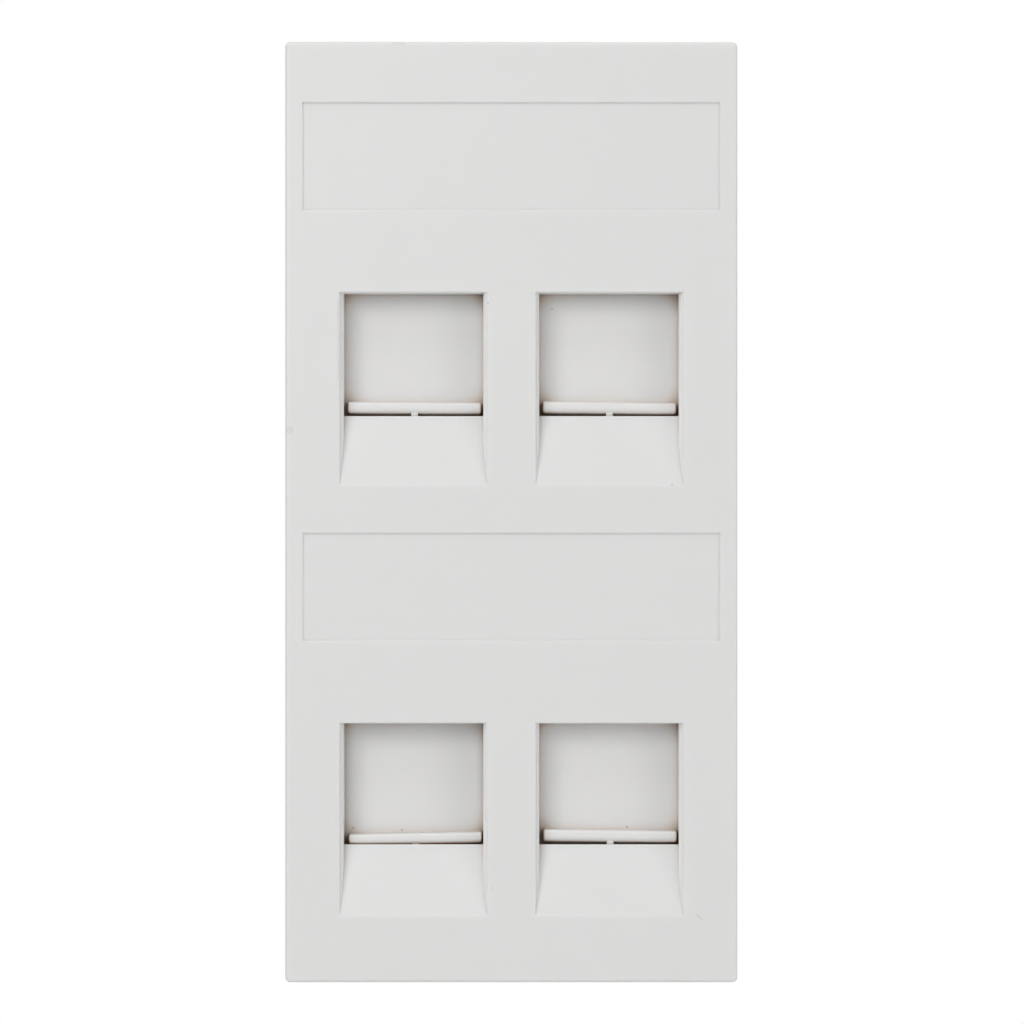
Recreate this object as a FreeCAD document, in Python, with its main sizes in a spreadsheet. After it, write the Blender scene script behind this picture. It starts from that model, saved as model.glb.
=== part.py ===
import FreeCAD, Part
import math
import os
import Sketcher

# Four-port keystone faceplate with sprung shutters.
# Frame: X to the right, Z up, the front faces -Y. The origin is the centre of the plane on which
# the rear rim of the moulding seats against the mounting frame. All lengths are in millimetres.

SIZES = {
    # front moulding
    "plate_width": 50.0,
    "plate_height": 104.0,
    "plate_depth": 10.0,        # front face to rear rim
    "corner_radius": 0.6,
    "edge_radius": 0.4,         # rounding of the front outline
    "front_wall": 2.2,
    "skirt_wall": 1.8,
    # the two rows and two columns of carriers share out the room inside the skirt
    "side_gap": 1.5,            # from a column to the skirt
    "column_gap": 0.3,
    "head_gap": 2.93,           # from the upper row to the skirt
    "row_gap": 3.0,
    "foot_gap": 5.25,           # from the lower row to the skirt
    # label recesses, one above each row
    "label_margin": 1.9,        # to the sides of the plate
    "label_height": 12.0,
    "label_recess": 0.25,
    "label_draft": 30.0,        # slope of its edges, degrees
    "label_gap": 5.24,          # up to the next ramp
    # port aperture and the ramp below it
    "aperture_width": 15.5,
    "aperture_height": 13.6,
    "aperture_depth": 5.0,      # front face to the plane on which the shutter runs
    "flare_width": 0.4,         # its sides curve outwards to the front
    "flare_depth": 2.1,
    "rim_chamfer": 0.1,         # along its front edge
    "rim_wall": 1.2,
    "ramp_height": 7.72,
    "ramp_depth": 3.0,          # at the nose of the sill
    "ramp_wall": 1.9,
    "sill_land": 0.3,
    "sill_rebate": 1.0,
    "shelf_wall": 1.5,
    # channel in which the shutter slides
    "channel_width": 18.0,
    "channel_depth": 1.6,
    "ledge_width": 2.0,
    # shutter
    "shutter_side_gap": 0.4,
    "shutter_front_gap": 0.1,
    "shutter_overlap": 1.6,     # above the aperture when closed
    "shutter_drop": 0.5,        # of the panel below its lip, behind the nose of the sill
    "shutter_wall": 1.2,
    "lip_width": 14.95,
    "lip_height": 1.42,
    "lip_reach": 2.0,
    "lip_head_radius": 0.32,
    "lip_foot_radius": 0.8,
    "lip_end_radius": 0.28,
    "nub_width": 0.75,
    "nub_height": 0.12,
    "nub_root": 0.3,
    "nub_setback": 0.15,
    "shoulder_width": 2.8,
    "shoulder_rise": 1.1,
    "spigot_radius": 0.65,
    "spigot_length": 2.0,
    # how each closed shutter sits in its play: turned in its plane, in degrees, and moved sideways
    "tilt_upper_left": 0.4,
    "tilt_upper_right": 0.8,
    "tilt_lower_left": -1.1,
    "tilt_lower_right": 0.75,
    "shift_upper_left": 0.14,
    "shift_upper_right": 0.17,
    "shift_lower_left": 0.05,
    "shift_lower_right": 0.24,
    # the lower left one has slipped behind the nose of its sill
    "slip_down": 0.34,
    "slip_back": 0.25,
    # spring
    "spring_diameter": 2.4,
    "spring_wire": 0.22,
    "spring_turns": 8,
    "spring_facets": 10,        # straight lengths in a turn
    "spring_end_gap": 0.06,
    "spring_rib": 0.6,
    "spring_room": 0.7,         # beside the spring, each side
    "spring_seat_wall": 1.2,
    # jack carrier
    "jack_width": 15.0,
    "jack_height": 16.5,
    "jack_axis_rise": 6.2,      # middle of the jack above the sill
    "cage_depth": 10.0,         # flange face to the rear of the cage
    "cage_wall": 1.4,
    "fixed_pocket_height": 2.0,
    "fixed_pocket_start": 6.5,
    "latch_pocket_height": 4.0,
    "latch_pocket_start": 4.0,
    "catch_wall": 2.0,
    "catch_overhang": 2.0,
    "flange_wall": 1.4,
    "flange_drop": 8.0,         # lower end of the flange below the sill
    "flange_top_margin": 0.4,   # above the spring seat
    "flange_gap": 0.1,          # inside the outer faces of the rails, each side
    "groove_depth": 0.6,
    # hooks that hold the carriers
    "hook_width": 6.0,
    "hook_wall": 1.2,
    "hook_overhang": 0.7,
    "hook_head": 1.0,
    "hook_gap": 0.1,
    "notch_gap": 0.2,
    # hooks that hold the plate in its mounting frame
    "clip_width": 8.0,
    "clip_wall": 1.4,
    "clip_gap": 0.7,            # to the skirt
    "clip_reach": 5.5,          # behind the rear rim
    "clip_barb": 0.6,           # less than the gap, so that the rim seats on a flat face
    "frame_sheet": 1.6,         # thickness of the mounting frame's edge
}

# The carriers' flanges fill their half of the room inside the skirt, and each sill and each spring
# seat stands at its own distance from the ends of its flange.
FLANGE_HEIGHT = (
    "((size.plate_height - 2 * size.skirt_wall - size.head_gap - size.row_gap - size.foot_gap) / 2)"
)
FLANGE_TOP = f"({FLANGE_HEIGHT} - size.flange_drop)"
SPRING_RISE = f"({FLANGE_TOP} - size.flange_top_margin - size.spring_seat_wall)"
COLUMN = "((size.plate_width / 2 - size.skirt_wall - size.side_gap) / 2)"
RAIL_OUTER = f"({COLUMN} - size.column_gap / 2)"

ROWS = {
    "upper": f"(size.plate_height / 2 - size.skirt_wall - size.head_gap - {FLANGE_TOP})",
    "lower": "(size.skirt_wall + size.foot_gap + size.flange_drop - size.plate_height / 2)",
}
COLUMNS = {"left": f"(-{COLUMN})", "right": COLUMN}
PORTS = [(row, column) for row in ROWS for column in COLUMNS]
LABEL_RISE = (
    f"({FLANGE_HEIGHT} + size.row_gap - size.ramp_height - size.label_gap - size.label_height / 2)"
)

# Planes parallel to the front, as distances in front of the rear rim.
INNER_FACE = "size.plate_depth - size.front_wall"
GUIDE_PLANE = "size.plate_depth - size.aperture_depth"
SEAT_PLANE = "size.plate_depth - size.aperture_depth - size.channel_depth"

PANEL_HEIGHT = "(size.aperture_height + size.shutter_overlap)"
SPRING_AXIS_DEPTH = "(size.aperture_depth + size.shutter_front_gap + size.shutter_wall / 2)"
SPRING_BAY = "(size.spring_diameter / 2 + size.spring_room)"
JACK_BOTTOM = "(size.jack_axis_rise - size.jack_height / 2)"
JACK_TOP = "(size.jack_axis_rise + size.jack_height / 2)"
SHOULDER_TOP = "(size.nub_height + " + PANEL_HEIGHT + " + size.shoulder_rise)"

doc = FreeCAD.newDocument("keystone_faceplate")


def make_sheet():
    """The spreadsheet with the driving dimensions, one alias each."""
    sheet = doc.addObject("Spreadsheet::Sheet", "size")
    for line, (alias, value) in enumerate(SIZES.items(), start=1):
        sheet.set(f"A{line}", alias)
        sheet.set(f"B{line}", str(value))
        sheet.setAlias(f"B{line}", alias)
    doc.recompute()


def new_body(label):
    body = doc.addObject("PartDesign::Body", label)
    body.Label = label
    return body


def new_sketch(body, name, role, offset="0"):
    """A sketch on one of the body's own origin planes, moved along its normal by offset."""
    plane = next(item for item in body.Origin.OriginFeatures if item.Role == role)
    sketch = body.newObject("Sketcher::SketchObject", name)
    sketch.AttachmentSupport = (plane, [""])
    sketch.MapMode = "FlatFace"
    sketch.setExpression(".AttachmentOffset.Base.z", offset)
    return sketch


def arc_between(start, end, radius, left):
    """The short arc from start to end, turning left or right; a sketch's own arcs all turn left."""
    chord = end - start
    side = FreeCAD.Vector(-chord.y, chord.x, 0).normalize() * (1 if left else -1)
    centre = (start + end) * 0.5 + side * math.sqrt(radius**2 - (chord.Length / 2) ** 2)
    first, last = (start, end) if left else (end, start)
    angles = [math.atan2(point.y - centre.y, point.x - centre.x) for point in (first, last)]
    if angles[1] < angles[0]:
        angles[1] += 2 * math.pi
    return Part.ArcOfCircle(Part.Circle(centre, FreeCAD.Vector(0, 0, 1), radius), *angles)


def add_outline(sketch, corners, arcs=None):
    """A closed outline; each corner is a pair of sheet expressions.

    arcs maps the number of a side to its radius and whether it turns left.
    """
    arcs = arcs or {}
    points = [FreeCAD.Vector(measure(across), measure(up), 0) for across, up in corners]
    count = len(points)
    first = sketch.GeometryCount
    ends = []
    for index, start in enumerate(points):
        end = points[(index + 1) % count]
        if index in arcs:
            radius, left = arcs[index]
            sketch.addGeometry(arc_between(start, end, measure(radius), left), False)
            ends.append((1, 2) if left else (2, 1))
        else:
            sketch.addGeometry(Part.LineSegment(start, end), False)
            ends.append((1, 2))
    for index in range(count):
        after = (index + 1) % count
        joint = (first + index, ends[index][1], first + after, ends[after][0])
        sketch.addConstraint(Sketcher.Constraint("Coincident", *joint))
    for index, (point, corner) in enumerate(zip(points, corners)):
        place = (-1, 1, first + index, ends[index][0])
        for kind, amount, text in (("DistanceX", point.x, corner[0]), ("DistanceY", point.y, corner[1])):
            number = sketch.addConstraint(Sketcher.Constraint(kind, *place, amount))
            sketch.setExpression(f"Constraints[{number}]", text)
    for index, (radius, _) in arcs.items():
        number = sketch.addConstraint(Sketcher.Constraint("Radius", first + index, measure(radius)))
        sketch.setExpression(f"Constraints[{number}]", radius)


def add_rectangle(sketch, left, right, bottom, top):
    add_outline(sketch, [(left, bottom), (right, bottom), (right, top), (left, top)])


def add_circle(sketch, x, y, radius):
    centre = FreeCAD.Vector(measure(x), measure(y), 0)
    size = measure(radius)
    geometry = sketch.addGeometry(Part.Circle(centre, FreeCAD.Vector(0, 0, 1), size), False)
    for constraint, text in (
        (Sketcher.Constraint("DistanceX", -1, 1, geometry, 3, centre.x), x),
        (Sketcher.Constraint("DistanceY", -1, 1, geometry, 3, centre.y), y),
        (Sketcher.Constraint("Radius", geometry, size), radius),
    ):
        number = sketch.addConstraint(constraint)
        sketch.setExpression(f"Constraints[{number}]", text)


def add_feature(body, kind, name, sketch, length, backwards=False, both_ways=False, draft=None):
    """A Pad or Pocket of a sketch. A pad grows along the sketch's normal, and a pocket cuts against it."""
    feature = body.newObject(f"PartDesign::{kind}", name)
    feature.Profile = sketch
    feature.Reversed = backwards
    if both_ways:
        feature.SideType = "Symmetric"
    feature.setExpression("Length", length)
    if draft:
        feature.setExpression("TaperAngle", draft)
    sketch.Visibility = False
    doc.recompute()
    return feature


def round_edges(body, name, base, radius, chosen):
    """A fillet on the edges of base for which chosen(edge) is true."""
    names = [f"Edge{number}" for number, edge in enumerate(base.Shape.Edges, start=1) if chosen(edge)]
    fillet = body.newObject("PartDesign::Fillet", name)
    fillet.Base = (base, names)
    fillet.setExpression("Radius", radius)
    doc.recompute()
    return fillet


def measure(text):
    """The number that an expression of sheet sizes gives."""
    return float(doc.getObject("faceplate").evalExpression(text))


def near(a, b):
    return abs(a - b) < 1e-4


# --- faceplate -----------------------------------------------------------------------------------


def add_slab(body):
    """The block of the moulding with its rounded corners and front outline."""
    outline = new_sketch(body, "outline", "XZ_Plane")
    add_rectangle(
        outline,
        "-size.plate_width / 2",
        "size.plate_width / 2",
        "-size.plate_height / 2",
        "size.plate_height / 2",
    )
    slab = add_feature(body, "Pad", "slab", outline, "size.plate_depth")

    def along_depth(edge):
        box = edge.BoundBox
        return near(box.YLength, measure("size.plate_depth")) and near(box.XLength + box.ZLength, 0)

    corners = round_edges(body, "corners", slab, "size.corner_radius", along_depth)

    def on_front(edge):
        return near(edge.BoundBox.YMin, -measure("size.plate_depth")) and near(edge.BoundBox.YLength, 0)

    round_edges(body, "front_outline", corners, "size.edge_radius", on_front)
    inside = new_sketch(body, "inside", "XZ_Plane")
    half_width = "(size.plate_width / 2 - size.skirt_wall)"
    half_height = "(size.plate_height / 2 - size.skirt_wall)"
    add_rectangle(inside, "-" + half_width, half_width, "-" + half_height, half_height)
    add_feature(body, "Pocket", "hollow", inside, INNER_FACE, backwards=True)


def add_port_frames(body):
    """Thick rims round the apertures, and above them the ledges on which the shutters run."""
    frames = new_sketch(body, "port_frames", "XZ_Plane", INNER_FACE)
    for row, column in PORTS:
        sill, middle = ROWS[row], COLUMNS[column]
        add_rectangle(
            frames,
            f"{middle} - {RAIL_OUTER}",
            f"{middle} + {RAIL_OUTER}",
            f"{sill} - size.ramp_height - size.rim_wall",
            f"{sill} + size.aperture_height + size.rim_wall",
        )
    thickness = "size.aperture_depth - size.front_wall"
    add_feature(body, "Pad", "rims", frames, thickness, backwards=True)
    for side, sign in (("left", "-"), ("right", "+")):
        ledges = new_sketch(body, f"{side}_ledges", "XZ_Plane", INNER_FACE)
        for row, column in PORTS:
            inner = f"{COLUMNS[column]} {sign} (size.channel_width / 2 - size.ledge_width)"
            outer = f"{COLUMNS[column]} {sign} {RAIL_OUTER}"
            add_rectangle(
                ledges,
                min(inner, outer, key=measure),
                max(inner, outer, key=measure),
                f"{ROWS[row]} + size.aperture_height",
                f"{ROWS[row]} + {FLANGE_TOP}",
            )
        add_feature(body, "Pad", f"{side}_ledge_pads", ledges, thickness, backwards=True)


def add_rails(body):
    """The side walls of the shutter channels; the carriers' flanges rest on them."""
    rails = new_sketch(body, "rail_lines", "XZ_Plane", GUIDE_PLANE)
    for row, column in PORTS:
        for sign in ("-", "+"):
            inner = f"{COLUMNS[column]} {sign} size.channel_width / 2"
            outer = f"{COLUMNS[column]} {sign} {RAIL_OUTER}"
            sides = (outer, inner) if sign == "-" else (inner, outer)
            add_rectangle(
                rails,
                *sides,
                f"{ROWS[row]} - size.flange_drop",
                f"{ROWS[row]} + {FLANGE_TOP}",
            )
    add_feature(body, "Pad", "rails", rails, "size.channel_depth", backwards=True)


def add_apertures(body):
    """Openings down to the foot of the ramps, whose sides are straight inside and curve out to the front."""
    radius = "((size.flare_depth ^ 2 + size.flare_width ^ 2) / (2 * size.flare_width))"
    front = "-size.plate_depth"
    bend = "(size.flare_depth - size.plate_depth)"
    inside = "(size.aperture_depth - size.plate_depth)"
    for row, sill in ROWS.items():
        head = f"{sill} + size.aperture_height"
        section = new_sketch(body, f"{row}_aperture_section", "XY_Plane", head)
        for middle in COLUMNS.values():
            left = f"{middle} - size.aperture_width / 2"
            right = f"{middle} + size.aperture_width / 2"
            add_outline(
                section,
                [
                    (left, inside),
                    (left, bend),
                    (f"{left} - size.flare_width", front),
                    (f"{right} + size.flare_width", front),
                    (right, bend),
                    (right, inside),
                ],
                arcs={1: (radius, False), 3: (radius, False)},
            )
        height = "size.aperture_height + size.ramp_height"
        add_feature(body, "Pocket", f"{row}_apertures", section, height)


def add_ramps(body):
    """The sloping ramp under each aperture, its sill with a raised nose, and the shelf behind it."""
    for column, middle in COLUMNS.items():
        profile = new_sketch(body, f"ramp_profile_{column}", "YZ_Plane", middle)
        slope = "(size.ramp_height / size.ramp_depth)"
        for sill in ROWS.values():
            floor = f"{sill} - size.ramp_height - size.rim_wall"
            rear_of_shelf = f"-({SEAT_PLANE})"
            under_shelf = f"{sill} - size.sill_rebate - size.shelf_wall"
            add_outline(
                profile,
                [
                    ("-size.plate_depth", floor),
                    (f"-({INNER_FACE})", floor),
                    (
                        f"-({INNER_FACE})",
                        f"{sill} - (size.ramp_depth + size.ramp_wall - size.front_wall) * {slope}",
                    ),
                    (
                        "-size.plate_depth + size.ramp_depth + size.ramp_wall"
                        f" - (size.sill_rebate + size.shelf_wall) / {slope}",
                        under_shelf,
                    ),
                    (rear_of_shelf, under_shelf),
                    (rear_of_shelf, f"{sill} - size.sill_rebate"),
                    ("-size.plate_depth + size.ramp_depth + size.sill_land", f"{sill} - size.sill_rebate"),
                    ("-size.plate_depth + size.ramp_depth + size.sill_land", sill),
                    ("-size.plate_depth + size.ramp_depth", sill),
                    ("-size.plate_depth", f"{sill} - size.ramp_height"),
                ],
            )
        width = "size.aperture_width + 2 * size.flare_width + size.rim_wall"
        add_feature(body, "Pad", f"ramps_{column}", profile, width, both_ways=True)


def add_label_recesses(body):
    labels = new_sketch(body, "labels", "XZ_Plane", "size.plate_depth")
    for sill in ROWS.values():
        middle = f"{sill} + {LABEL_RISE}"
        add_rectangle(
            labels,
            "size.label_margin - size.plate_width / 2",
            "size.plate_width / 2 - size.label_margin",
            f"{middle} - size.label_height / 2",
            f"{middle} + size.label_height / 2",
        )
    add_feature(body, "Pocket", "label_recesses", labels, "size.label_recess", draft="-size.label_draft")


def add_spring_bays(body):
    """For each spring, two side ribs, a low middle rib, and the seat with its spigot at the top."""
    side_ribs = new_sketch(body, "side_ribs", "XZ_Plane", INNER_FACE)
    middle_ribs = new_sketch(body, "middle_ribs", "XZ_Plane", INNER_FACE)
    seats = new_sketch(body, "spring_seats", "XZ_Plane", INNER_FACE)
    for row, column in PORTS:
        sill, middle = ROWS[row], COLUMNS[column]
        foot = f"{sill} + size.aperture_height + size.rim_wall"
        head = f"{sill} + {SPRING_RISE}"
        outer = f"({SPRING_BAY} + size.spring_rib)"
        add_rectangle(side_ribs, f"{middle} - {outer}", f"{middle} - {SPRING_BAY}", foot, head)
        add_rectangle(side_ribs, f"{middle} + {SPRING_BAY}", f"{middle} + {outer}", foot, head)
        half_rib = "size.spring_rib / 2"
        add_rectangle(middle_ribs, f"{middle} - {half_rib}", f"{middle} + {half_rib}", foot, head)
        top = f"{head} + size.spring_seat_wall"
        add_rectangle(seats, f"{middle} - {outer}", f"{middle} + {outer}", head, top)
    to_guides = "size.aperture_depth - size.front_wall"
    add_feature(body, "Pad", "side_rib_pads", side_ribs, to_guides, backwards=True)
    spring_front = f"{SPRING_AXIS_DEPTH} - size.spring_diameter / 2"
    to_spring = f"{spring_front} - size.shutter_front_gap - size.front_wall"
    add_feature(body, "Pad", "middle_rib_pads", middle_ribs, to_spring, backwards=True)
    full_depth = "size.aperture_depth + size.channel_depth - size.front_wall"
    add_feature(body, "Pad", "spring_seat_pads", seats, full_depth, backwards=True)
    for row, sill in ROWS.items():
        spigots = new_sketch(body, f"{row}_spigots", "XY_Plane", f"{sill} + {SPRING_RISE}")
        for middle in COLUMNS.values():
            add_circle(spigots, middle, f"{SPRING_AXIS_DEPTH} - size.plate_depth", "size.spigot_radius")
        add_feature(body, "Pad", f"{row}_spigot_pads", spigots, "size.spigot_length", backwards=True)


def add_carrier_hooks(body):
    """At both ends of each carrier, an arm from the front wall whose head reaches over the flange."""
    rear_of_flange = f"({SEAT_PLANE} - size.flange_wall - size.hook_gap)"
    for column, middle in COLUMNS.items():
        profile = new_sketch(body, f"hook_profile_{column}", "YZ_Plane", middle)
        for sill in ROWS.values():
            for end, inwards in ((f"({sill} - size.flange_drop)", "+"), (f"({sill} + {FLANGE_TOP})", "-")):
                arm = f"{end} {inwards} size.hook_wall"
                head = f"{arm} {inwards} (size.hook_overhang + size.hook_gap)"
                add_outline(
                    profile,
                    [
                        (f"-({INNER_FACE})", end),
                        (f"-({INNER_FACE})", arm),
                        (f"-{rear_of_flange}", arm),
                        (f"-{rear_of_flange}", head),
                        (f"-{rear_of_flange} + size.hook_head", arm),
                        (f"-{rear_of_flange} + size.hook_head", end),
                    ],
                )
        add_feature(body, "Pad", f"hooks_{column}", profile, "size.hook_width", both_ways=True)


def add_frame_clips(body):
    """Two barbed legs at the top and two at the foot, which snap behind the edge of the mounting frame."""
    for column, middle in COLUMNS.items():
        profile = new_sketch(body, f"clip_profile_{column}", "YZ_Plane", middle)
        for sign in ("-", "+"):
            side = "size.plate_height / 2 - size.skirt_wall - size.clip_gap"
            wall = f"{sign}({side})"
            leg = f"{sign}({side} - size.clip_wall)"
            barb = f"{sign}({side} + size.clip_barb)"
            root = f"-({INNER_FACE})"
            add_outline(
                profile,
                [
                    (root, leg),
                    (root, wall),
                    ("size.frame_sheet", wall),
                    ("size.frame_sheet", barb),
                    ("size.clip_reach", wall),
                    ("size.clip_reach", leg),
                ],
            )
        add_feature(body, "Pad", f"clips_{column}", profile, "size.clip_width", both_ways=True)


def chamfer_aperture_rims(body):
    """Breaks the front edges of the apertures."""
    front = -measure("size.plate_depth")
    reach = measure(f"{COLUMN} + {RAIL_OUTER}")
    base = body.Tip
    names = []
    for number, edge in enumerate(base.Shape.Edges, start=1):
        box = edge.BoundBox
        flat_on_front = near(box.YMin, front) and near(box.YLength, 0)
        if flat_on_front and max(-box.XMin, box.XMax) < reach:
            names.append(f"Edge{number}")
    chamfer = body.newObject("PartDesign::Chamfer", "aperture_rims")
    chamfer.Base = (base, names)
    chamfer.setExpression("Size", "size.rim_chamfer")
    doc.recompute()


def make_faceplate():
    body = new_body("faceplate")
    add_slab(body)
    add_port_frames(body)
    add_rails(body)
    add_apertures(body)
    add_ramps(body)
    chamfer_aperture_rims(body)
    add_label_recesses(body)
    add_spring_bays(body)
    add_carrier_hooks(body)
    add_frame_clips(body)
    return body


# --- shutters ------------------------------------------------------------------------------------


def slip(row, column):
    """How far a shutter has dropped and moved back from where it should rest."""
    if (row, column) == ("lower", "left"):
        return "size.slip_down", "size.slip_back"
    return "0", "0"


def make_shutter(row, column):
    """A sliding panel with a finger lip below and a spring spigot on top.

    Its own origin is the middle of the panel's front face, so that it turns about its middle.
    """
    body = new_body(f"shutter_{row}_{column}")
    half_height = f"({PANEL_HEIGHT} / 2)"
    half_width = "(size.channel_width / 2 - size.shutter_side_gap)"
    lip_foot = f"-{half_height}"
    panel = new_sketch(body, "panel", "XZ_Plane")
    add_rectangle(panel, "-" + half_width, half_width, f"{lip_foot} - size.shutter_drop", half_height)
    add_feature(body, "Pad", "panel_pad", panel, "size.shutter_wall", backwards=True)
    lip = new_sketch(body, "lip", "YZ_Plane")
    lip_head = f"{lip_foot} + size.lip_height"
    add_outline(
        lip,
        [
            ("0", lip_head),
            ("size.lip_head_radius - size.lip_reach", lip_head),
            ("-size.lip_reach", f"{lip_head} - size.lip_head_radius"),
            ("-size.lip_reach", f"{lip_foot} + size.lip_foot_radius"),
            ("size.lip_foot_radius - size.lip_reach", lip_foot),
            ("0", lip_foot),
        ],
        arcs={1: ("size.lip_head_radius", True), 3: ("size.lip_foot_radius", True)},
    )
    lip_pad = add_feature(body, "Pad", "lip_pad", lip, "size.lip_width", both_ways=True)
    lip_end = measure("size.lip_width / 2")

    def on_lip_end(edge):
        box = edge.BoundBox
        at_end = near(abs(box.XMin), lip_end) and near(box.XLength, 0)
        return at_end and not near(box.YMin, 0)

    round_edges(body, "lip_ends", lip_pad, "size.lip_end_radius", on_lip_end)
    nub = new_sketch(body, "nub", "XZ_Plane")
    nub_foot = f"{lip_foot} - size.nub_height"
    nub_root = f"{lip_foot} + size.nub_root"
    add_rectangle(nub, "-size.nub_width / 2", "size.nub_width / 2", nub_foot, nub_root)
    add_feature(body, "Pad", "nub_pad", nub, "size.lip_reach - size.nub_setback")
    in_front = "(size.spring_diameter / 2 - size.shutter_wall / 2)"
    shoulder = new_sketch(body, "shoulder", "XZ_Plane", in_front)
    shoulder_top = f"{half_height} + size.shoulder_rise"
    add_rectangle(
        shoulder,
        "-size.shoulder_width / 2",
        "size.shoulder_width / 2",
        half_height,
        shoulder_top,
    )
    add_feature(body, "Pad", "shoulder_pad", shoulder, "size.spring_diameter", backwards=True)
    spigot = new_sketch(body, "spigot", "XY_Plane", shoulder_top)
    add_circle(spigot, "0", "size.shutter_wall / 2", "size.spigot_radius")
    add_feature(body, "Pad", "spigot_pad", spigot, "size.spigot_length")

    down, back = slip(row, column)
    body.Placement = FreeCAD.Placement(FreeCAD.Vector(), FreeCAD.Rotation(FreeCAD.Vector(0, 1, 0), 1))
    body.setExpression(".Placement.Base.x", f"{COLUMNS[column]} + size.shift_{row}_{column}")
    front = "-size.plate_depth + size.aperture_depth + size.shutter_front_gap"
    body.setExpression(".Placement.Base.y", f"{front} + {back}")
    body.setExpression(".Placement.Base.z", f"{ROWS[row]} + size.nub_height + {half_height} - {down}")
    body.setExpression(".Placement.Rotation.Angle", f"size.tilt_{row}_{column}")
    return body


# --- springs -------------------------------------------------------------------------------------


def make_spring(row, column):
    """A coil of square wire in short straight lengths, as long as the closed shutter leaves it."""
    radius = (measure("size.spring_diameter") - measure("size.spring_wire")) / 2
    down, back = slip(row, column)
    foot = f"({SHOULDER_TOP} + size.spring_end_gap - {down})"
    length = measure(f"{SPRING_RISE} - size.spring_end_gap - {foot} - size.spring_wire * 2")
    steps = round(measure("size.spring_turns * size.spring_facets"))
    nodes = []
    for step in range(steps + 1):
        angle = 2 * math.pi * step / measure("size.spring_facets")
        height = measure("size.spring_wire") + length * step / steps
        nodes.append(FreeCAD.Vector(radius * math.cos(angle), radius * math.sin(angle), height))
    path = doc.addObject("Part::Polygon", f"coil_{row}_{column}")
    path.Nodes = nodes
    section = doc.addObject("Part::RegularPolygon", f"wire_{row}_{column}")
    section.Polygon = 4
    section.setExpression("Circumradius", "size.spring_wire / sqrt(2)")
    along_wire = FreeCAD.Rotation(FreeCAD.Vector(0, 0, 1), nodes[1] - nodes[0])
    section.Placement = FreeCAD.Placement(nodes[0], along_wire)
    doc.recompute()
    coil = doc.addObject("Part::Sweep", f"spring_{row}_{column}")
    coil.Label = f"spring_{row}_{column}"
    coil.Sections = [section]
    coil.Spine = (path, [f"Edge{number}" for number in range(1, steps + 1)])
    coil.Solid = True
    coil.Frenet = True
    coil.Transition = "Right corner"
    coil.setExpression(".Placement.Base.x", f"{COLUMNS[column]} + size.shift_{row}_{column} / 2")
    coil.setExpression(".Placement.Base.y", f"{SPRING_AXIS_DEPTH} - size.plate_depth + {back} / 2")
    coil.setExpression(".Placement.Base.z", f"{ROWS[row]} + {foot}")
    doc.recompute()
    return coil


# --- jack carriers -------------------------------------------------------------------------------


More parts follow.
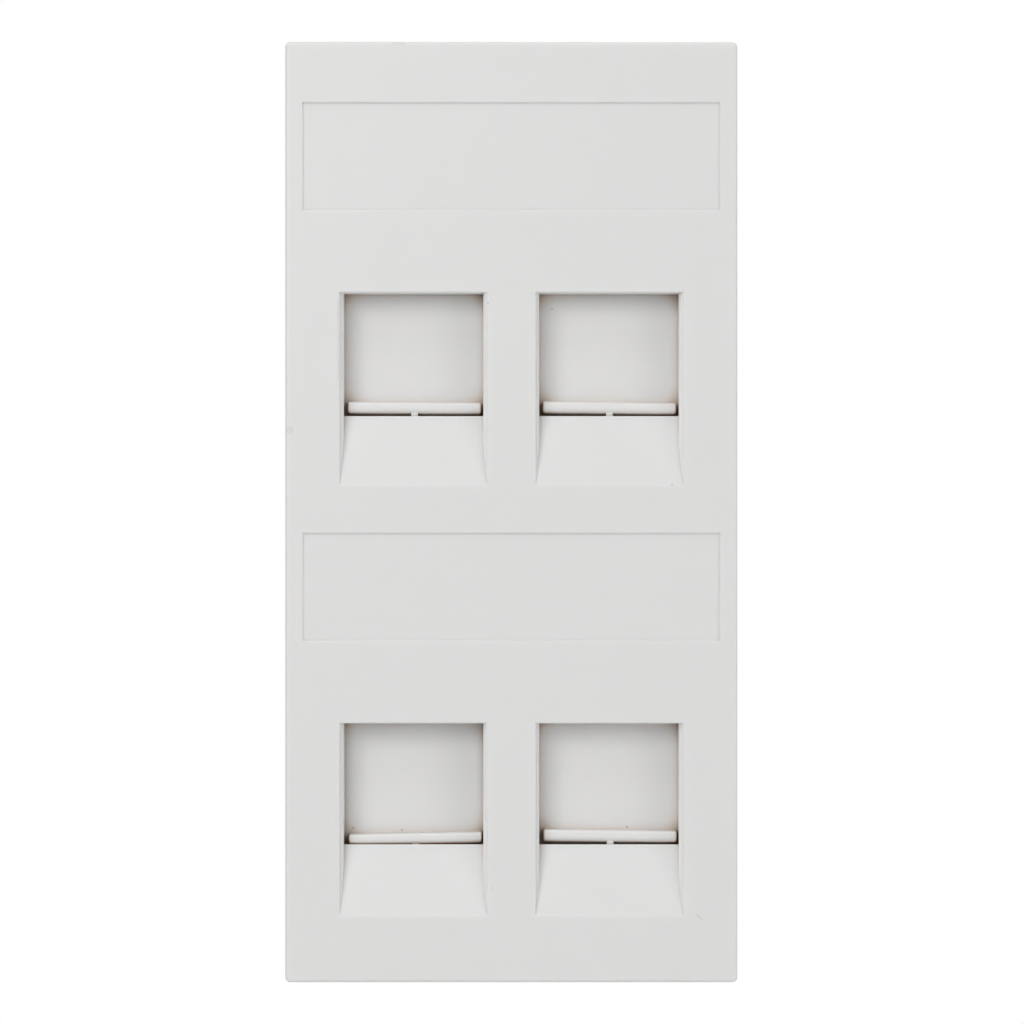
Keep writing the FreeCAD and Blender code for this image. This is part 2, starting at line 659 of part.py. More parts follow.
def make_carrier(row, column):
    """The rear moulding of one port: a flange that closes the shutter channel, and a jack cage.

    Its own origin is on the flange's front face, at the middle of the port and the height of the sill.
    """
    body = new_body(f"carrier_{row}_{column}")
    half_flange = f"({RAIL_OUTER} - size.flange_gap)"
    notch = "(size.hook_width / 2 + size.notch_gap)"
    notch_depth = "(size.hook_wall + size.hook_gap)"
    flange = new_sketch(body, "flange", "XZ_Plane")
    add_outline(
        flange,
        [
            (f"-{half_flange}", "-size.flange_drop"),
            (f"-{notch}", "-size.flange_drop"),
            (f"-{notch}", f"-size.flange_drop + {notch_depth}"),
            (notch, f"-size.flange_drop + {notch_depth}"),
            (notch, "-size.flange_drop"),
            (half_flange, "-size.flange_drop"),
            (half_flange, FLANGE_TOP),
            (notch, FLANGE_TOP),
            (notch, f"{FLANGE_TOP} - {notch_depth}"),
            (f"-{notch}", f"{FLANGE_TOP} - {notch_depth}"),
            (f"-{notch}", FLANGE_TOP),
            (f"-{half_flange}", FLANGE_TOP),
        ],
    )
    add_feature(body, "Pad", "flange_pad", flange, "size.flange_wall", backwards=True)
    half_cage = "(size.jack_width / 2 + size.cage_wall)"
    cage_bottom = f"({JACK_BOTTOM} - size.fixed_pocket_height - size.cage_wall)"
    cage_top = f"({JACK_TOP} + size.latch_pocket_height + size.cage_wall)"
    cage = new_sketch(body, "cage", "XZ_Plane")
    add_rectangle(cage, "-" + half_cage, half_cage, cage_bottom, cage_top)
    add_feature(body, "Pad", "cage_pad", cage, "size.cage_depth", backwards=True)
    opening = new_sketch(body, "opening", "XZ_Plane")
    add_rectangle(opening, "-size.jack_width / 2", "size.jack_width / 2", JACK_BOTTOM, JACK_TOP)
    add_feature(body, "Pocket", "opening_cut", opening, "size.cage_depth")
    pockets = new_sketch(body, "pockets", "YZ_Plane")
    catch = "size.cage_depth - size.catch_wall"
    fixed_pocket_floor = f"{JACK_BOTTOM} - size.fixed_pocket_height"
    add_rectangle(pockets, "size.fixed_pocket_start", catch, fixed_pocket_floor, f"{JACK_BOTTOM} + 1")
    latch_roof = f"{JACK_TOP} + size.latch_pocket_height"
    add_outline(
        pockets,
        [
            ("size.latch_pocket_start", f"{JACK_TOP} - 1"),
            ("size.latch_pocket_start", latch_roof),
            (catch, latch_roof),
            (catch, f"{latch_roof} - size.catch_overhang"),
            ("size.cage_depth", f"{latch_roof} - size.catch_overhang / 2"),
            ("size.cage_depth", f"{JACK_TOP} - 1"),
        ],
    )
    add_feature(body, "Pocket", "pocket_cuts", pockets, "size.jack_width", both_ways=True)
    core = new_sketch(body, "core", "YZ_Plane")
    add_rectangle(
        core,
        "size.flange_wall",
        "size.latch_pocket_start - size.cage_wall",
        f"{JACK_TOP} + size.cage_wall",
        f"{cage_top} + 1",
    )
    add_rectangle(
        core,
        "size.flange_wall",
        "size.fixed_pocket_start - size.cage_wall",
        f"{cage_bottom} - 1",
        f"{JACK_BOTTOM} - size.cage_wall",
    )
    add_feature(body, "Pocket", "core_cut", core, f"2 * {half_cage} + 2", both_ways=True)
    groove = new_sketch(body, "groove", "XZ_Plane")
    add_rectangle(groove, "-" + SPRING_BAY, SPRING_BAY, JACK_TOP, SPRING_RISE)
    add_feature(body, "Pocket", "groove_cut", groove, "size.groove_depth")
    slot = new_sketch(body, "slot", "XZ_Plane")
    add_rectangle(
        slot, "-" + SPRING_BAY, SPRING_BAY, f"{cage_top} + size.cage_wall", f"{SPRING_RISE} - size.cage_wall"
    )
    add_feature(body, "Pocket", "slot_cut", slot, "size.flange_wall")
    body.setExpression(".Placement.Base.x", COLUMNS[column])
    body.setExpression(".Placement.Base.y", f"-({SEAT_PLANE})")
    body.setExpression(".Placement.Base.z", ROWS[row])
    return body


# --- build and export ----------------------------------------------------------------------------


def check(bodies):
    """Stops if any object failed or any body's shape is not one valid solid."""
    for item in doc.Objects:
        if "Invalid" in item.State or "Error" in item.State:
            raise RuntimeError(f"{item.Name} failed: {item.State}")
    for body in bodies:
        shape = body.Shape
        if shape.isNull() or not shape.isValid() or len(shape.Solids) != 1:
            raise RuntimeError(f"{body.Label} is not one valid solid")


def main():
    make_sheet()
    bodies = [make_faceplate()]
    for row, column in PORTS:
        bodies.append(make_shutter(row, column))
        bodies.append(make_spring(row, column))
        bodies.append(make_carrier(row, column))
    doc.recompute()
    check(bodies)
    os.makedirs("parts", exist_ok=True)
    for body in bodies:
        body.Shape.exportStep(f"parts/{body.Label}.step")
        print(body.Label, "volume", round(body.Shape.Volume, 2), "mm3")


main()
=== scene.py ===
import bpy
import bmesh
import math
from mathutils import Matrix, Vector


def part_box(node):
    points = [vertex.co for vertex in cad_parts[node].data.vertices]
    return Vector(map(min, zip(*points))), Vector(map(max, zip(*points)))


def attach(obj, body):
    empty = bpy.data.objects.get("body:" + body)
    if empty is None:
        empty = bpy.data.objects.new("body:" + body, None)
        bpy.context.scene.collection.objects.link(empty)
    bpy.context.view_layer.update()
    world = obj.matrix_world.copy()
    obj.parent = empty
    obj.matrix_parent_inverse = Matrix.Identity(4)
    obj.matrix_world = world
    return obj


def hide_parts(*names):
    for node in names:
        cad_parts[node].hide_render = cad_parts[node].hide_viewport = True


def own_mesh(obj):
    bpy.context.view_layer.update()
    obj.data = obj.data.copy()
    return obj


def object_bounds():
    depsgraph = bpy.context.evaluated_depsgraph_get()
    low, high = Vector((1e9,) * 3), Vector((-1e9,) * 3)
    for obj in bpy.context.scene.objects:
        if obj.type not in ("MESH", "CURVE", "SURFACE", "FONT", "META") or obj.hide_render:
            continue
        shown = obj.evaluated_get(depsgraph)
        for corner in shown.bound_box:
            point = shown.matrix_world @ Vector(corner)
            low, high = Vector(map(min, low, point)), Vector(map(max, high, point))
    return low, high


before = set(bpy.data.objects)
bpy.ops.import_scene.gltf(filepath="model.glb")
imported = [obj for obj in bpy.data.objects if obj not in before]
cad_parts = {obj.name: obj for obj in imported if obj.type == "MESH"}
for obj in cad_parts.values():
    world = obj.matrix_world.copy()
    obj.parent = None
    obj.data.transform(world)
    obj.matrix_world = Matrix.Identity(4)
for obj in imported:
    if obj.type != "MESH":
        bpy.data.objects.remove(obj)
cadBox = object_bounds()
print("frame loaded:", len(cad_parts), "nodes")

# Frame: X right, Z up, the front of the plate faces -Y, and lengths are in metres.

portNames = [row + "_" + column for row in ("upper", "lower") for column in ("left", "right")]


# shader groups: the effects that the plastics are made of


def newGroup(name, inputs, outputs):
    group = bpy.data.node_groups.new(name, "ShaderNodeTree")
    for side, sockets in (("INPUT", inputs), ("OUTPUT", outputs)):
        for label, kind in sockets.items():
            group.interface.new_socket(name=label, in_out=side, socket_type="NodeSocket" + kind)
    start = group.nodes.new("NodeGroupInput")
    end = group.nodes.new("NodeGroupOutput")
    return group, start, end


def addNode(tree, kind, settings=None, values=None):
    node = tree.nodes.new(kind)
    for name, value in (settings or {}).items():
        setattr(node, name, value)
    for name, value in (values or {}).items():
        node.inputs[name].default_value = value
    return node


def addMath(tree, operation, first, second=None, third=None):
    node = addNode(tree, "ShaderNodeMath", {"operation": operation})
    for index, value in enumerate((first, second, third)):
        if value is None:
            continue
        if isinstance(value, (int, float)):
            node.inputs[index].default_value = value
        else:
            tree.links.new(value, node.inputs[index])
    return node.outputs[0]


def addRange(tree, value, low, high, toLow=0.0, toHigh=1.0, smooth=False):
    limits = {"From Min": low, "From Max": high, "To Min": toLow, "To Max": toHigh}
    steps = {"interpolation_type": "SMOOTHSTEP" if smooth else "LINEAR"}
    node = addNode(tree, "ShaderNodeMapRange", steps, limits)
    tree.links.new(value, node.inputs["Value"])
    return node.outputs[0]


def addMix(tree, factor, first, second):
    # a colour node has its factor at socket 0, its two colours at 6 and 7, and its result at 2
    node = addNode(tree, "ShaderNodeMix", {"data_type": "RGBA"})
    for index, value in ((0, factor), (6, first), (7, second)):
        if isinstance(value, tuple):
            node.inputs[index].default_value = value
        else:
            tree.links.new(value, node.inputs[index])
    return node.outputs[2]


mouldTexture = {
    "fine": {"Detail": 3.0, "Roughness": 0.6},
    "slow": {"Scale": 55.0, "Detail": 3.0, "Roughness": 0.5},
    "slowShare": 0.35,        # how much of the slow unevenness is added to the height
    "toneRange": (0.35, 0.65),
    "heightRange": (0.3, 1.1),
}


def buildGrainGroup():
    # the fine spark-eroded texture of the mould, with a slow unevenness under it
    group, start, end = newGroup(
        "mouldGrain",
        {"Vector": "Vector", "Grain Scale": "Float"},
        {"Height": "Float", "Tone": "Float"},
    )
    fine = addNode(group, "ShaderNodeTexNoise", values=mouldTexture["fine"])
    slow = addNode(group, "ShaderNodeTexNoise", values=mouldTexture["slow"])
    group.links.new(start.outputs["Vector"], fine.inputs["Vector"])
    group.links.new(start.outputs["Grain Scale"], fine.inputs["Scale"])
    group.links.new(start.outputs["Vector"], slow.inputs["Vector"])
    slowHeight = slow.outputs["Fac"]
    height = addMath(group, "MULTIPLY_ADD", slowHeight, mouldTexture["slowShare"], fine.outputs["Fac"])
    group.links.new(height, end.inputs["Height"])
    group.links.new(slow.outputs["Fac"], end.inputs["Tone"])
    return group


shadeStages = {
    # how open a place is where each stage starts, and where it is full
    "Corner": (0.70, 0.20),
    "Gap": (0.55, 0.15),
    "Deep": (0.36, 0.06),
}


def buildCornerGroup():
    # three stages of painted shade by depth: in a corner, in a narrow gap, and far inside one
    group, start, end = newGroup("cornerShade", {"Reach": "Float"}, dict.fromkeys(shadeStages, "Float"))
    occlusion = addNode(group, "ShaderNodeAmbientOcclusion", {"samples": 6})
    group.links.new(start.outputs["Reach"], occlusion.inputs["Distance"])
    for label, (begins, full) in shadeStages.items():
        shade = addRange(group, occlusion.outputs["AO"], begins, full, smooth=True)
        group.links.new(shade, end.inputs[label])
    return group


edgeTurn = {"flat": 0.99, "turned": 0.8}    # how well the softened normal agrees with the face


def buildEdgeGroup():
    # where an edge turns, and the softened normal there; the mask of the turn also carries a painted
    # highlight along the edges
    group, start, end = newGroup("softEdge", {"Radius": "Float"}, {"Normal": "Vector", "Mask": "Float"})
    bevel = addNode(group, "ShaderNodeBevel", {"samples": 6})
    geometry = addNode(group, "ShaderNodeNewGeometry")
    turn = addNode(group, "ShaderNodeVectorMath", {"operation": "DOT_PRODUCT"})
    group.links.new(start.outputs["Radius"], bevel.inputs["Radius"])
    group.links.new(bevel.outputs["Normal"], turn.inputs[0])
    group.links.new(geometry.outputs["Normal"], turn.inputs[1])
    group.links.new(bevel.outputs["Normal"], end.inputs["Normal"])
    mask = addRange(group, turn.outputs["Value"], edgeTurn["flat"], edgeTurn["turned"])
    group.links.new(mask, end.inputs["Mask"])
    return group


rims = {
    "front": -0.010,          # place of the plate's face
    "depth": 0.0021,          # over which a wall turns
    "fade": 0.1,              # share of that depth over which the painted light on the walls ends
    "reach": 0.0196,          # half the width over both columns
    "middle": -0.0102,        # height half-way between the rows
    "rowAway": 0.0238,        # from there to the middle of a row's ports
    "rowHalf": 0.0112,
    "wallFacing": (0.60, 0.40),   # how much a face looks to the front, from no wall to all wall
}


def buildRimGroup():
    # the moulded rims of the ports are rounded: near the front their walls turn towards it, and the
    # mask puts painted light on those walls near the front
    group, start, end = newGroup(
        "rimRound",
        {"Vector": "Vector", "Normal": "Vector"},
        {"Normal": "Vector", "Mask": "Float"},
    )
    place = addNode(group, "ShaderNodeSeparateXYZ")
    group.links.new(start.outputs["Vector"], place.inputs[0])
    turned = addNode(group, "ShaderNodeSeparateXYZ")
    group.links.new(start.outputs["Normal"], turned.inputs[0])

    # the round is a quarter circle: how much of the normal stays across, and how much faces front
    inner = rims["front"] + rims["depth"]
    depth = addRange(group, place.outputs["Y"], rims["front"], inner)
    left = addMath(group, "SUBTRACT", 1.0, depth)
    across = addMath(group, "SUBTRACT", 1.0, addMath(group, "MULTIPLY", left, left))
    facingSquare = addMath(group, "SUBTRACT", 1.0, addMath(group, "MULTIPLY", across, across))
    facing = addMath(group, "SQRT", facingSquare)

    # only the walls of the ports turn
    fromMiddle = addMath(group, "SUBTRACT", place.outputs["Z"], rims["middle"])
    row = addMath(group, "ABSOLUTE", fromMiddle)
    inRows = addMath(group, "COMPARE", row, rims["rowAway"], rims["rowHalf"])
    inColumns = addMath(group, "COMPARE", place.outputs["X"], 0.0, rims["reach"])
    steep = addRange(group, addMath(group, "ABSOLUTE", turned.outputs["Y"]), *rims["wallFacing"])
    wall = addMath(group, "MULTIPLY", addMath(group, "MULTIPLY", inRows, inColumns), steep)
    share = addMath(group, "MULTIPLY", wall, facing)
    unturned = addMath(group, "SUBTRACT", 1.0, share)
    kept = addMath(group, "ADD", unturned, addMath(group, "MULTIPLY", share, across))

    scaled = addNode(group, "ShaderNodeVectorMath", {"operation": "SCALE"})
    group.links.new(start.outputs["Normal"], scaled.inputs[0])
    group.links.new(kept, scaled.inputs["Scale"])
    forward = addNode(group, "ShaderNodeCombineXYZ")
    group.links.new(addMath(group, "MULTIPLY", share, -1.0), forward.inputs["Y"])
    total = addNode(group, "ShaderNodeVectorMath", {"operation": "ADD"})
    group.links.new(scaled.outputs[0], total.inputs[0])
    group.links.new(forward.outputs[0], total.inputs[1])
    unit = addNode(group, "ShaderNodeVectorMath", {"operation": "NORMALIZE"})
    group.links.new(total.outputs[0], unit.inputs[0])
    group.links.new(unit.outputs[0], end.inputs["Normal"])
    # painted light: the port walls made lighter near the front, fading out deeper in
    paintedLightFade = addRange(group, place.outputs["Y"], inner + rims["fade"] * rims["depth"], inner)
    group.links.new(addMath(group, "MULTIPLY", wall, paintedLightFade), end.inputs["Mask"])
    return group


markCore = 0.5                # share of a mark's radius that has its full strength


def buildMarkGroup():
    # one speck, hair or scratch: how near a point lies to the line between two places
    group, start, end = newGroup(
        "fineMark",
        {
            "Vector": "Vector",
            "From": "Vector",
            "To": "Vector",
            "Radius": "Float",
            "Strength": "Float",
            "Others": "Float",    # the marks before this one
        },
        {"Mask": "Float"},
    )

    def addVector(operation, first, second):
        node = addNode(group, "ShaderNodeVectorMath", {"operation": operation})
        group.links.new(first, node.inputs[0])
        group.links.new(second, node.inputs["Scale" if operation == "SCALE" else 1])
        return node.outputs["Value" if operation in ("DOT_PRODUCT", "DISTANCE") else "Vector"]

    fromStart = addVector("SUBTRACT", start.outputs["Vector"], start.outputs["From"])
    line = addVector("SUBTRACT", start.outputs["To"], start.outputs["From"])
    reached = addVector("DOT_PRODUCT", fromStart, line)
    along = addMath(group, "DIVIDE", reached, addVector("DOT_PRODUCT", line, line))
    along = addMath(group, "MINIMUM", addMath(group, "MAXIMUM", along, 0.0), 1.0)
    away = addVector("DISTANCE", fromStart, addVector("SCALE", line, along))
    inRadii = addMath(group, "DIVIDE", away, start.outputs["Radius"])
    spot = addRange(group, inRadii, 1.0, markCore, smooth=True)
    spot = addMath(group, "MULTIPLY", spot, start.outputs["Strength"])
    group.links.new(addMath(group, "MAXIMUM", spot, start.outputs["Others"]), end.inputs["Mask"])
    return group


dustSpread = {
    "cells": 170.0,           # to the metre
    "speck": (0.022, 0.008),  # radius of a speck and of its core, as shares of a cell
    "empty": 0.72,            # share of the cells that have none
}


def buildDustGroup():
    # sparse faint specks of dust all over
    group, start, end = newGroup("fineDust", {"Vector": "Vector", "Cells": "Float"}, {"Mask": "Float"})
    cells = addNode(group, "ShaderNodeTexVoronoi", {"feature": "F1"}, {"Randomness": 1.0})
    group.links.new(start.outputs["Vector"], cells.inputs["Vector"])
    group.links.new(start.outputs["Cells"], cells.inputs["Scale"])
    chosen = addNode(group, "ShaderNodeSeparateColor")
    group.links.new(cells.outputs["Color"], chosen.inputs[0])
    spot = addRange(group, cells.outputs["Distance"], *dustSpread["speck"])
    kept = addMath(group, "GREATER_THAN", chosen.outputs[0], dustSpread["empty"])
    strength = addMath(group, "MULTIPLY", spot, kept)
    group.links.new(addMath(group, "MULTIPLY", strength, chosen.outputs[1]), end.inputs["Mask"])
    return group


mouldGrain = buildGrainGroup()
cornerShade = buildCornerGroup()
softEdge = buildEdgeGroup()
rimRound = buildRimGroup()
fineMark = buildMarkGroup()
fineDust = buildDustGroup()
print("shader groups built")


def addGroup(tree, group, values=None):
    return addNode(tree, "ShaderNodeGroup", {"node_tree": group}, values)


# moulded plastic

plateFinish = {
    "color": (0.735, 0.734, 0.729, 1),
    # each tint over it, with its share
    "uneven": ((0.70, 0.69, 0.66, 1), 0.05),
    # painted highlight: edges and rounds made lighter where the edge mask finds them turning
    "paintedEdgeHighlight": ((0.88, 0.88, 0.875, 1), 0.5),
    # painted shade: darker and warmer in corners, orange-brown in narrow gaps as a painted glow of
    # light through the plastic, nearly black far inside
    "corner": ((0.60, 0.54, 0.47, 1), 0.6),
    "paintedGapShade": ((0.50, 0.27, 0.11, 1), 0.85),
    "paintedDeepShade": ((0.09, 0.04, 0.018, 1), 1.0),
    # painted light on the port walls near the front
    "rimAndPaintedLight": ((0.97, 0.97, 0.965, 1), 1.0),
    "dust": ((0.30, 0.27, 0.24, 1), 0.20),
    "mark": ((0.30, 0.27, 0.24, 1), 1.0),
    "roughness": 0.40,
    "roughnessSpread": 0.05,
    "grainScale": 7000.0,
    "grainHeight": 0.000012,
    "grainStrength": 0.5,
    "cornerReach": 0.0019,
    "edgeRadius": 0.0002,
    "rounded": True,          # whether its ports' rims turn to the front and their walls get painted light
    "glow": {
        "Subsurface Weight": 0.5,
        "Subsurface Radius": (1.0, 0.88, 0.76),
        "Subsurface Scale": 0.0009,
    },
    "marks": [
        # one end, other end (none for a round speck), radius, strength
        ((-0.00257, -0.010, 0.02308), None, 0.00011, 0.6),
        ((0.01776, -0.00997, 0.00303), None, 0.00013, 0.6),
        ((-0.00213, -0.010, -0.04156), None, 0.00010, 0.4),
        ((-0.01914, -0.010, 0.0234), (-0.01914, -0.010, 0.0146), 0.00007, 0.22),
        ((0.02041, -0.010, -0.04443), (0.02119, -0.010, -0.04509), 0.00007, 0.30),
        ((-0.02445, -0.010, 0.00905), None, 0.00055, 0.14),
        ((-0.0130, -0.0099, 0.0519), (-0.0120, -0.0099, 0.0519), 0.0004, 0.12),
    ],
}
shutterFinish = dict(
    plateFinish,
    color=(0.745, 0.743, 0.737, 1),
    roughness=0.30,
    cornerReach=0.0023,
    # painted shade in the corners, warmer on the shutters
    corner=((0.68, 0.58, 0.48, 1), 0.6),
    rounded=False,
    marks=[
        ((0.00455, -0.0049, 0.02265), None, 0.00013, 0.6),
        ((-0.01766, -0.00465, -0.03527), None, 0.00013, 0.9),
        ((-0.01219, -0.00465, -0.03550), None, 0.00014, 0.8),
        ((-0.01565, -0.00465, -0.03550), None, 0.00009, 0.3),
        ((0.01292, -0.0049, -0.03516), None, 0.00013, 0.8),
        ((0.00834, -0.0049, -0.02422), None, 0.00010, 0.35),
        ((0.00332, -0.0049, -0.02713), None, 0.00009, 0.35),
    ],
)
carrierFinish = dict(
    plateFinish,
    color=(0.71, 0.705, 0.69, 1),
    roughness=0.46,
    grainHeight=0.00002,
    rounded=False,
    marks=[],
)


def makePlastic(name, finish):
    material = bpy.data.materials.new(name)
    material.use_nodes = True
    tree = material.node_tree
    shader = tree.nodes["Principled BSDF"]
    place = addNode(tree, "ShaderNodeTexCoord").outputs["Object"]
    grain = addGroup(tree, mouldGrain, {"Grain Scale": finish["grainScale"]})
    tree.links.new(place, grain.inputs["Vector"])
    corner = addGroup(tree, cornerShade, {"Reach": finish["cornerReach"]})
    edge = addGroup(tree, softEdge, {"Radius": finish["edgeRadius"]})
    rimAndPaintedLight = None
    if finish["rounded"]:
        rimAndPaintedLight = addGroup(tree, rimRound)
        tree.links.new(place, rimAndPaintedLight.inputs["Vector"])
        tree.links.new(edge.outputs["Normal"], rimAndPaintedLight.inputs["Normal"])
    dust = addGroup(tree, fineDust, {"Cells": dustSpread["cells"]})
    tree.links.new(place, dust.inputs["Vector"])
    marks = None
    for begin, stop, radius, strength in finish["marks"]:
        values = {"From": begin, "To": stop or begin, "Radius": radius, "Strength": strength}
        mark = addGroup(tree, fineMark, values)
        tree.links.new(place, mark.inputs["Vector"])
        if marks:
            tree.links.new(marks, mark.inputs["Others"])
        marks = mark.outputs["Mask"]

    layers = {
        "uneven": addRange(tree, grain.outputs["Tone"], *mouldTexture["toneRange"]),
        # painted highlight along the edges, from the edge mask
        "paintedEdgeHighlight": edge.outputs["Mask"],
        # painted shade from the three corner stages
        "corner": corner.outputs["Corner"],
        "paintedGapShade": corner.outputs["Gap"],
        "paintedDeepShade": corner.outputs["Deep"],
        # painted light on the port walls, from the rim mask
        "rimAndPaintedLight": rimAndPaintedLight and rimAndPaintedLight.outputs["Mask"],
        "dust": dust.outputs["Mask"],
        "mark": marks,
    }
    color = finish["color"]
    for layer, mask in layers.items():
        if mask:
            tint, share = finish[layer]
            color = addMix(tree, addMath(tree, "MULTIPLY", mask, share), color, tint)
    tree.links.new(color, shader.inputs["Base Color"])

    smoothest = finish["roughness"] - finish["roughnessSpread"]
    roughest = finish["roughness"] + finish["roughnessSpread"]
    height = grain.outputs["Height"]
    roughness = addRange(tree, height, *mouldTexture["heightRange"], smoothest, roughest)
    tree.links.new(roughness, shader.inputs["Roughness"])
    relief = {"Strength": finish["grainStrength"], "Distance": finish["grainHeight"]}
    bump = addNode(tree, "ShaderNodeBump", values=relief)
    tree.links.new(height, bump.inputs["Height"])
    tree.links.new((rimAndPaintedLight or edge).outputs["Normal"], bump.inputs["Normal"])
    tree.links.new(bump.outputs["Normal"], shader.inputs["Normal"])
    for label, value in finish["glow"].items():
        shader.inputs[label].default_value = value
    return material


def dress(node, material):
    node.data.materials.clear()
    node.data.materials.append(material)


platePlastic = makePlastic("platePlastic", plateFinish)
shutterPlastic = makePlastic("shutterPlastic", shutterFinish)
carrierPlastic = makePlastic("carrierPlastic", carrierFinish)
dress(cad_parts["faceplate"], platePlastic)
for name in portNames:
    dress(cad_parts["shutter_" + name], shutterPlastic)
    dress(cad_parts["carrier_" + name], carrierPlastic)
print("plastic parts dressed")


# springs

spring = {
    "wire": 0.00011,          # radius of the wire
    "radius": 0.00109,        # of the coil, to the middle of the wire
    "turns": 15,              # open turns
    "closedTurns": 1.5,       # flat turns at each end
    "stepsInTurn": 20,
    "wireSides": 8,
    "closedPitch": 2.05,      # rise of a flat turn, in radii of the wire
    "weld": 0.02,             # within which points are joined, in radii of the wire
    "keep": 0.37,             # share of its length left when the shutter is open
}
steel = {
    "dark": (0.52, 0.52, 0.51, 1),
    "light": (0.66, 0.65, 0.63, 1),
    "drawn": {"Scale": 5200.0, "Detail": 4.0},
    "drawnRange": (0.3, 0.7),
    "roughness": (0.22, 0.36),
}


def makeSpringSteel():
    material = bpy.data.materials.new("springSteel")
    material.use_nodes = True
    tree = material.node_tree
    shader = tree.nodes["Principled BSDF"]
    place = addNode(tree, "ShaderNodeTexCoord").outputs["Object"]
    drawn = addNode(tree, "ShaderNodeTexNoise", values=steel["drawn"])
    tree.links.new(place, drawn.inputs["Vector"])
    color = addMix(tree, drawn.outputs["Fac"], steel["dark"], steel["light"])
    tree.links.new(color, shader.inputs["Base Color"])
    roughness = addRange(tree, drawn.outputs["Fac"], *steel["drawnRange"], *steel["roughness"])
    tree.links.new(roughness, shader.inputs["Roughness"])
    shader.inputs["Metallic"].default_value = 1.0
    return material


def makeSpring(name, material):
    low, high = (Vector(corner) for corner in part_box("spring_" + name))
    middle = (low + high) / 2
    height = high.z - low.z
    closed = spring["closedTurns"]
    flatRise = spring["closedPitch"] * spring["wire"]
    openRise = (height - 2 * spring["wire"] - 2 * closed * flatRise) / spring["turns"]
    work = bmesh.new()
    upright = Matrix.Rotation(math.pi / 2, 4, "X")
    start = Matrix.Translation((spring["radius"], 0, spring["wire"])) @ upright
    bmesh.ops.create_circle(work, segments=spring["wireSides"], radius=spring["wire"], matrix=start)
    face = bmesh.ops.contextual_create(work, geom=work.edges[:])["faces"][0]
    geometry = [face] + list(face.edges) + list(face.verts)
    for turns, rise in ((closed, flatRise), (spring["turns"], openRise), (closed, flatRise)):
        steps = round(turns * spring["stepsInTurn"])
        made = bmesh.ops.spin(
            work, geom=geometry, cent=(0, 0, 0), axis=(0, 0, 1), dvec=(0, 0, rise * turns / steps),
            angle=2 * math.pi * turns, steps=steps, use_merge=False, use_duplicate=False,
        )
        geometry = made["geom_last"]
    bmesh.ops.remove_doubles(work, verts=work.verts, dist=spring["wire"] * spring["weld"])
    # the profiles between the closed and the open turns lie inside the wire
    inner = [face for face in work.faces if all(len(edge.link_faces) > 2 for edge in face.edges)]
    bmesh.ops.delete(work, geom=inner, context="FACES_ONLY")
    bmesh.ops.recalc_face_normals(work, faces=work.faces)
    bmesh.ops.translate(work, vec=(middle.x, middle.y, low.z), verts=work.verts)
    mesh = bpy.data.meshes.new("coil_" + name)
    work.to_mesh(mesh)
    work.free()
    mesh.materials.append(material)
    mesh.shade_smooth()
    coil = bpy.data.objects.new("coil_" + name, mesh)
    bpy.context.collection.objects.link(coil)
    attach(coil, "plate")
    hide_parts("spring_" + name)
    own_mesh(coil)


springSteel = makeSpringSteel()
for name in portNames:
    makeSpring(name, springSteel)
print("springs made")


# floor, light and camera

stage = {
    "floorSize": 1.1,
    "floorDrop": 0.20,        # below the middle of the plate
    "floorColor": (0.72, 0.72, 0.72, 1),
    "floorRoughness": 0.8,
    "ambient": 0.355,         # light from the sides
    "fromAbove": 0.8,         # share of it that is added from above and taken away from below
}
lamps = [
    # name, place, size, power
    ("keyLight", (-0.22, -0.54, 0.19), 0.28, 1.18),
    ("topLight", (-0.10, -0.42, 0.62), 0.35, 0.6),
    ("fillLight", (0.58, -0.62, 0.12), 0.50, 1.2),
    ("backLight", (0.30, 0.90, 0.60), 0.70, 5.0),
]


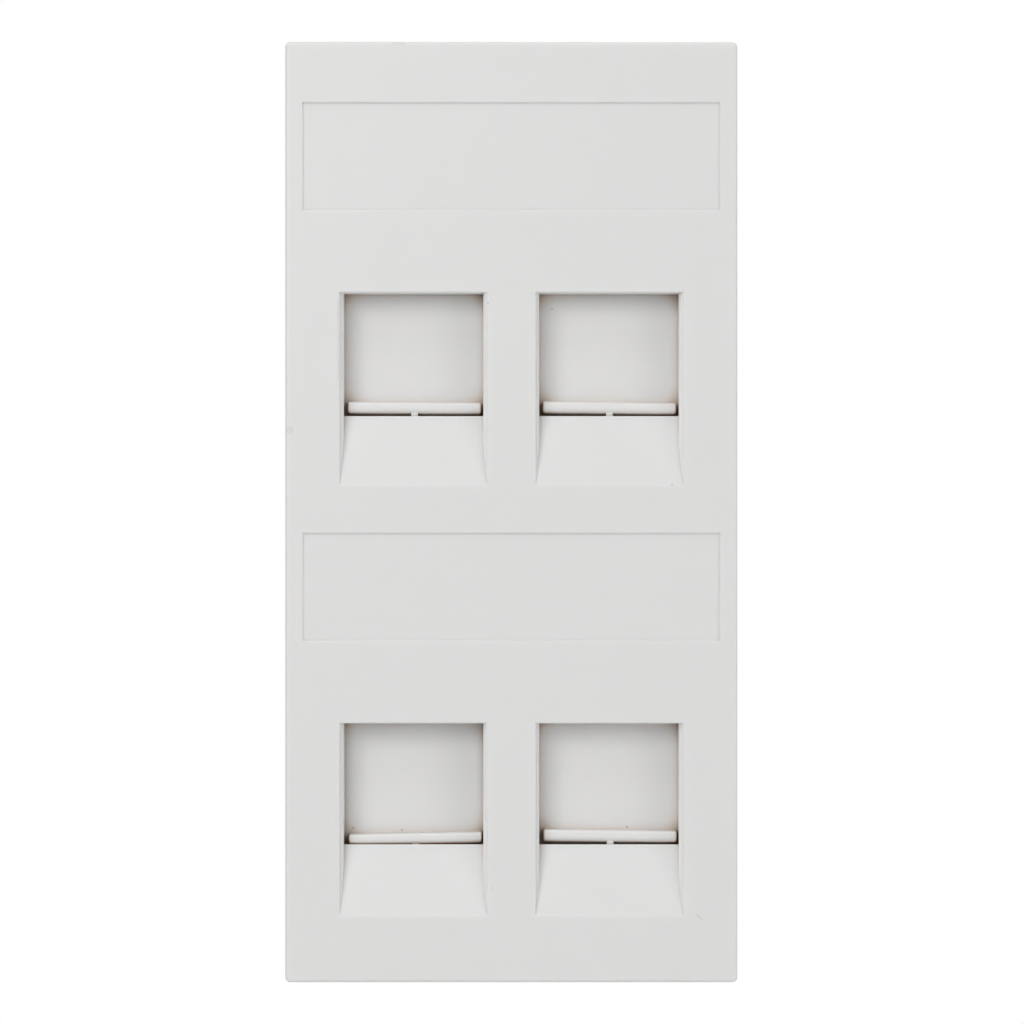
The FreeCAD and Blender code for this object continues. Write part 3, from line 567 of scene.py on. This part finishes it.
def makeFloor():
    work = bmesh.new()
    bmesh.ops.create_grid(work, x_segments=1, y_segments=1, size=stage["floorSize"] / 2)
    bmesh.ops.translate(work, vec=(0, 0, -stage["floorDrop"]), verts=work.verts)
    mesh = bpy.data.meshes.new("floor")
    work.to_mesh(mesh)
    work.free()
    material = bpy.data.materials.new("floorPaint")
    material.use_nodes = True
    shader = material.node_tree.nodes["Principled BSDF"]
    shader.inputs["Base Color"].default_value = stage["floorColor"]
    shader.inputs["Roughness"].default_value = stage["floorRoughness"]
    mesh.materials.append(material)
    floor = bpy.data.objects.new("floor", mesh)
    bpy.context.collection.objects.link(floor)


def makeWorld():
    world = bpy.data.worlds.new("studio")
    bpy.context.scene.world = world
    world.use_nodes = True
    tree = world.node_tree
    background = tree.nodes["Background"]
    rays = addNode(tree, "ShaderNodeLightPath")
    seen = addMath(tree, "MAXIMUM", rays.outputs["Is Camera Ray"], rays.outputs["Is Glossy Ray"])
    seen = addMath(tree, "MAXIMUM", seen, rays.outputs["Is Transmission Ray"])
    background.inputs["Color"].default_value = (1, 1, 1, 1)
    height = addNode(tree, "ShaderNodeSeparateXYZ")
    tree.links.new(addNode(tree, "ShaderNodeTexCoord").outputs["Generated"], height.inputs[0])
    low = stage["ambient"] * (1 - stage["fromAbove"])
    high = stage["ambient"] * (1 + stage["fromAbove"])
    soft = addRange(tree, height.outputs["Z"], -1.0, 1.0, low, high)
    strength = addMath(tree, "MAXIMUM", soft, seen)
    tree.links.new(strength, background.inputs["Strength"])


def makeLamp(name, place, size, power):
    data = bpy.data.lights.new(name, "AREA")
    data.shape = "DISK"
    data.size = size
    data.energy = power
    lamp = bpy.data.objects.new(name, data)
    lamp.location = place
    lamp.rotation_euler = (-Vector(place)).to_track_quat("-Z", "Y").to_euler()
    bpy.context.collection.objects.link(lamp)


makeFloor()
makeWorld()
for lampValues in lamps:
    makeLamp(*lampValues)
print("stage and lights set")

camera = {
    "away": 0.5,              # in front of the plate's face
    "across": 0.11315,        # width of the view at the face
    "side": 0.00008,          # to the right of the middle
    "sensor": 36,             # in millimetres, as the lens is
}
cameraData = bpy.data.cameras.new("camera")
cameraData.sensor_width = camera["sensor"]
cameraData.lens = camera["sensor"] * camera["away"] / camera["across"]
cameraObject = bpy.data.objects.new("camera", cameraData)
cameraObject.location = (camera["side"], cadBox[0][1] - camera["away"], 0)
cameraObject.rotation_euler = (math.pi / 2, 0, 0)
bpy.context.collection.objects.link(cameraObject)
bpy.context.scene.camera = cameraObject
bpy.context.scene.view_settings.view_transform = "Standard"
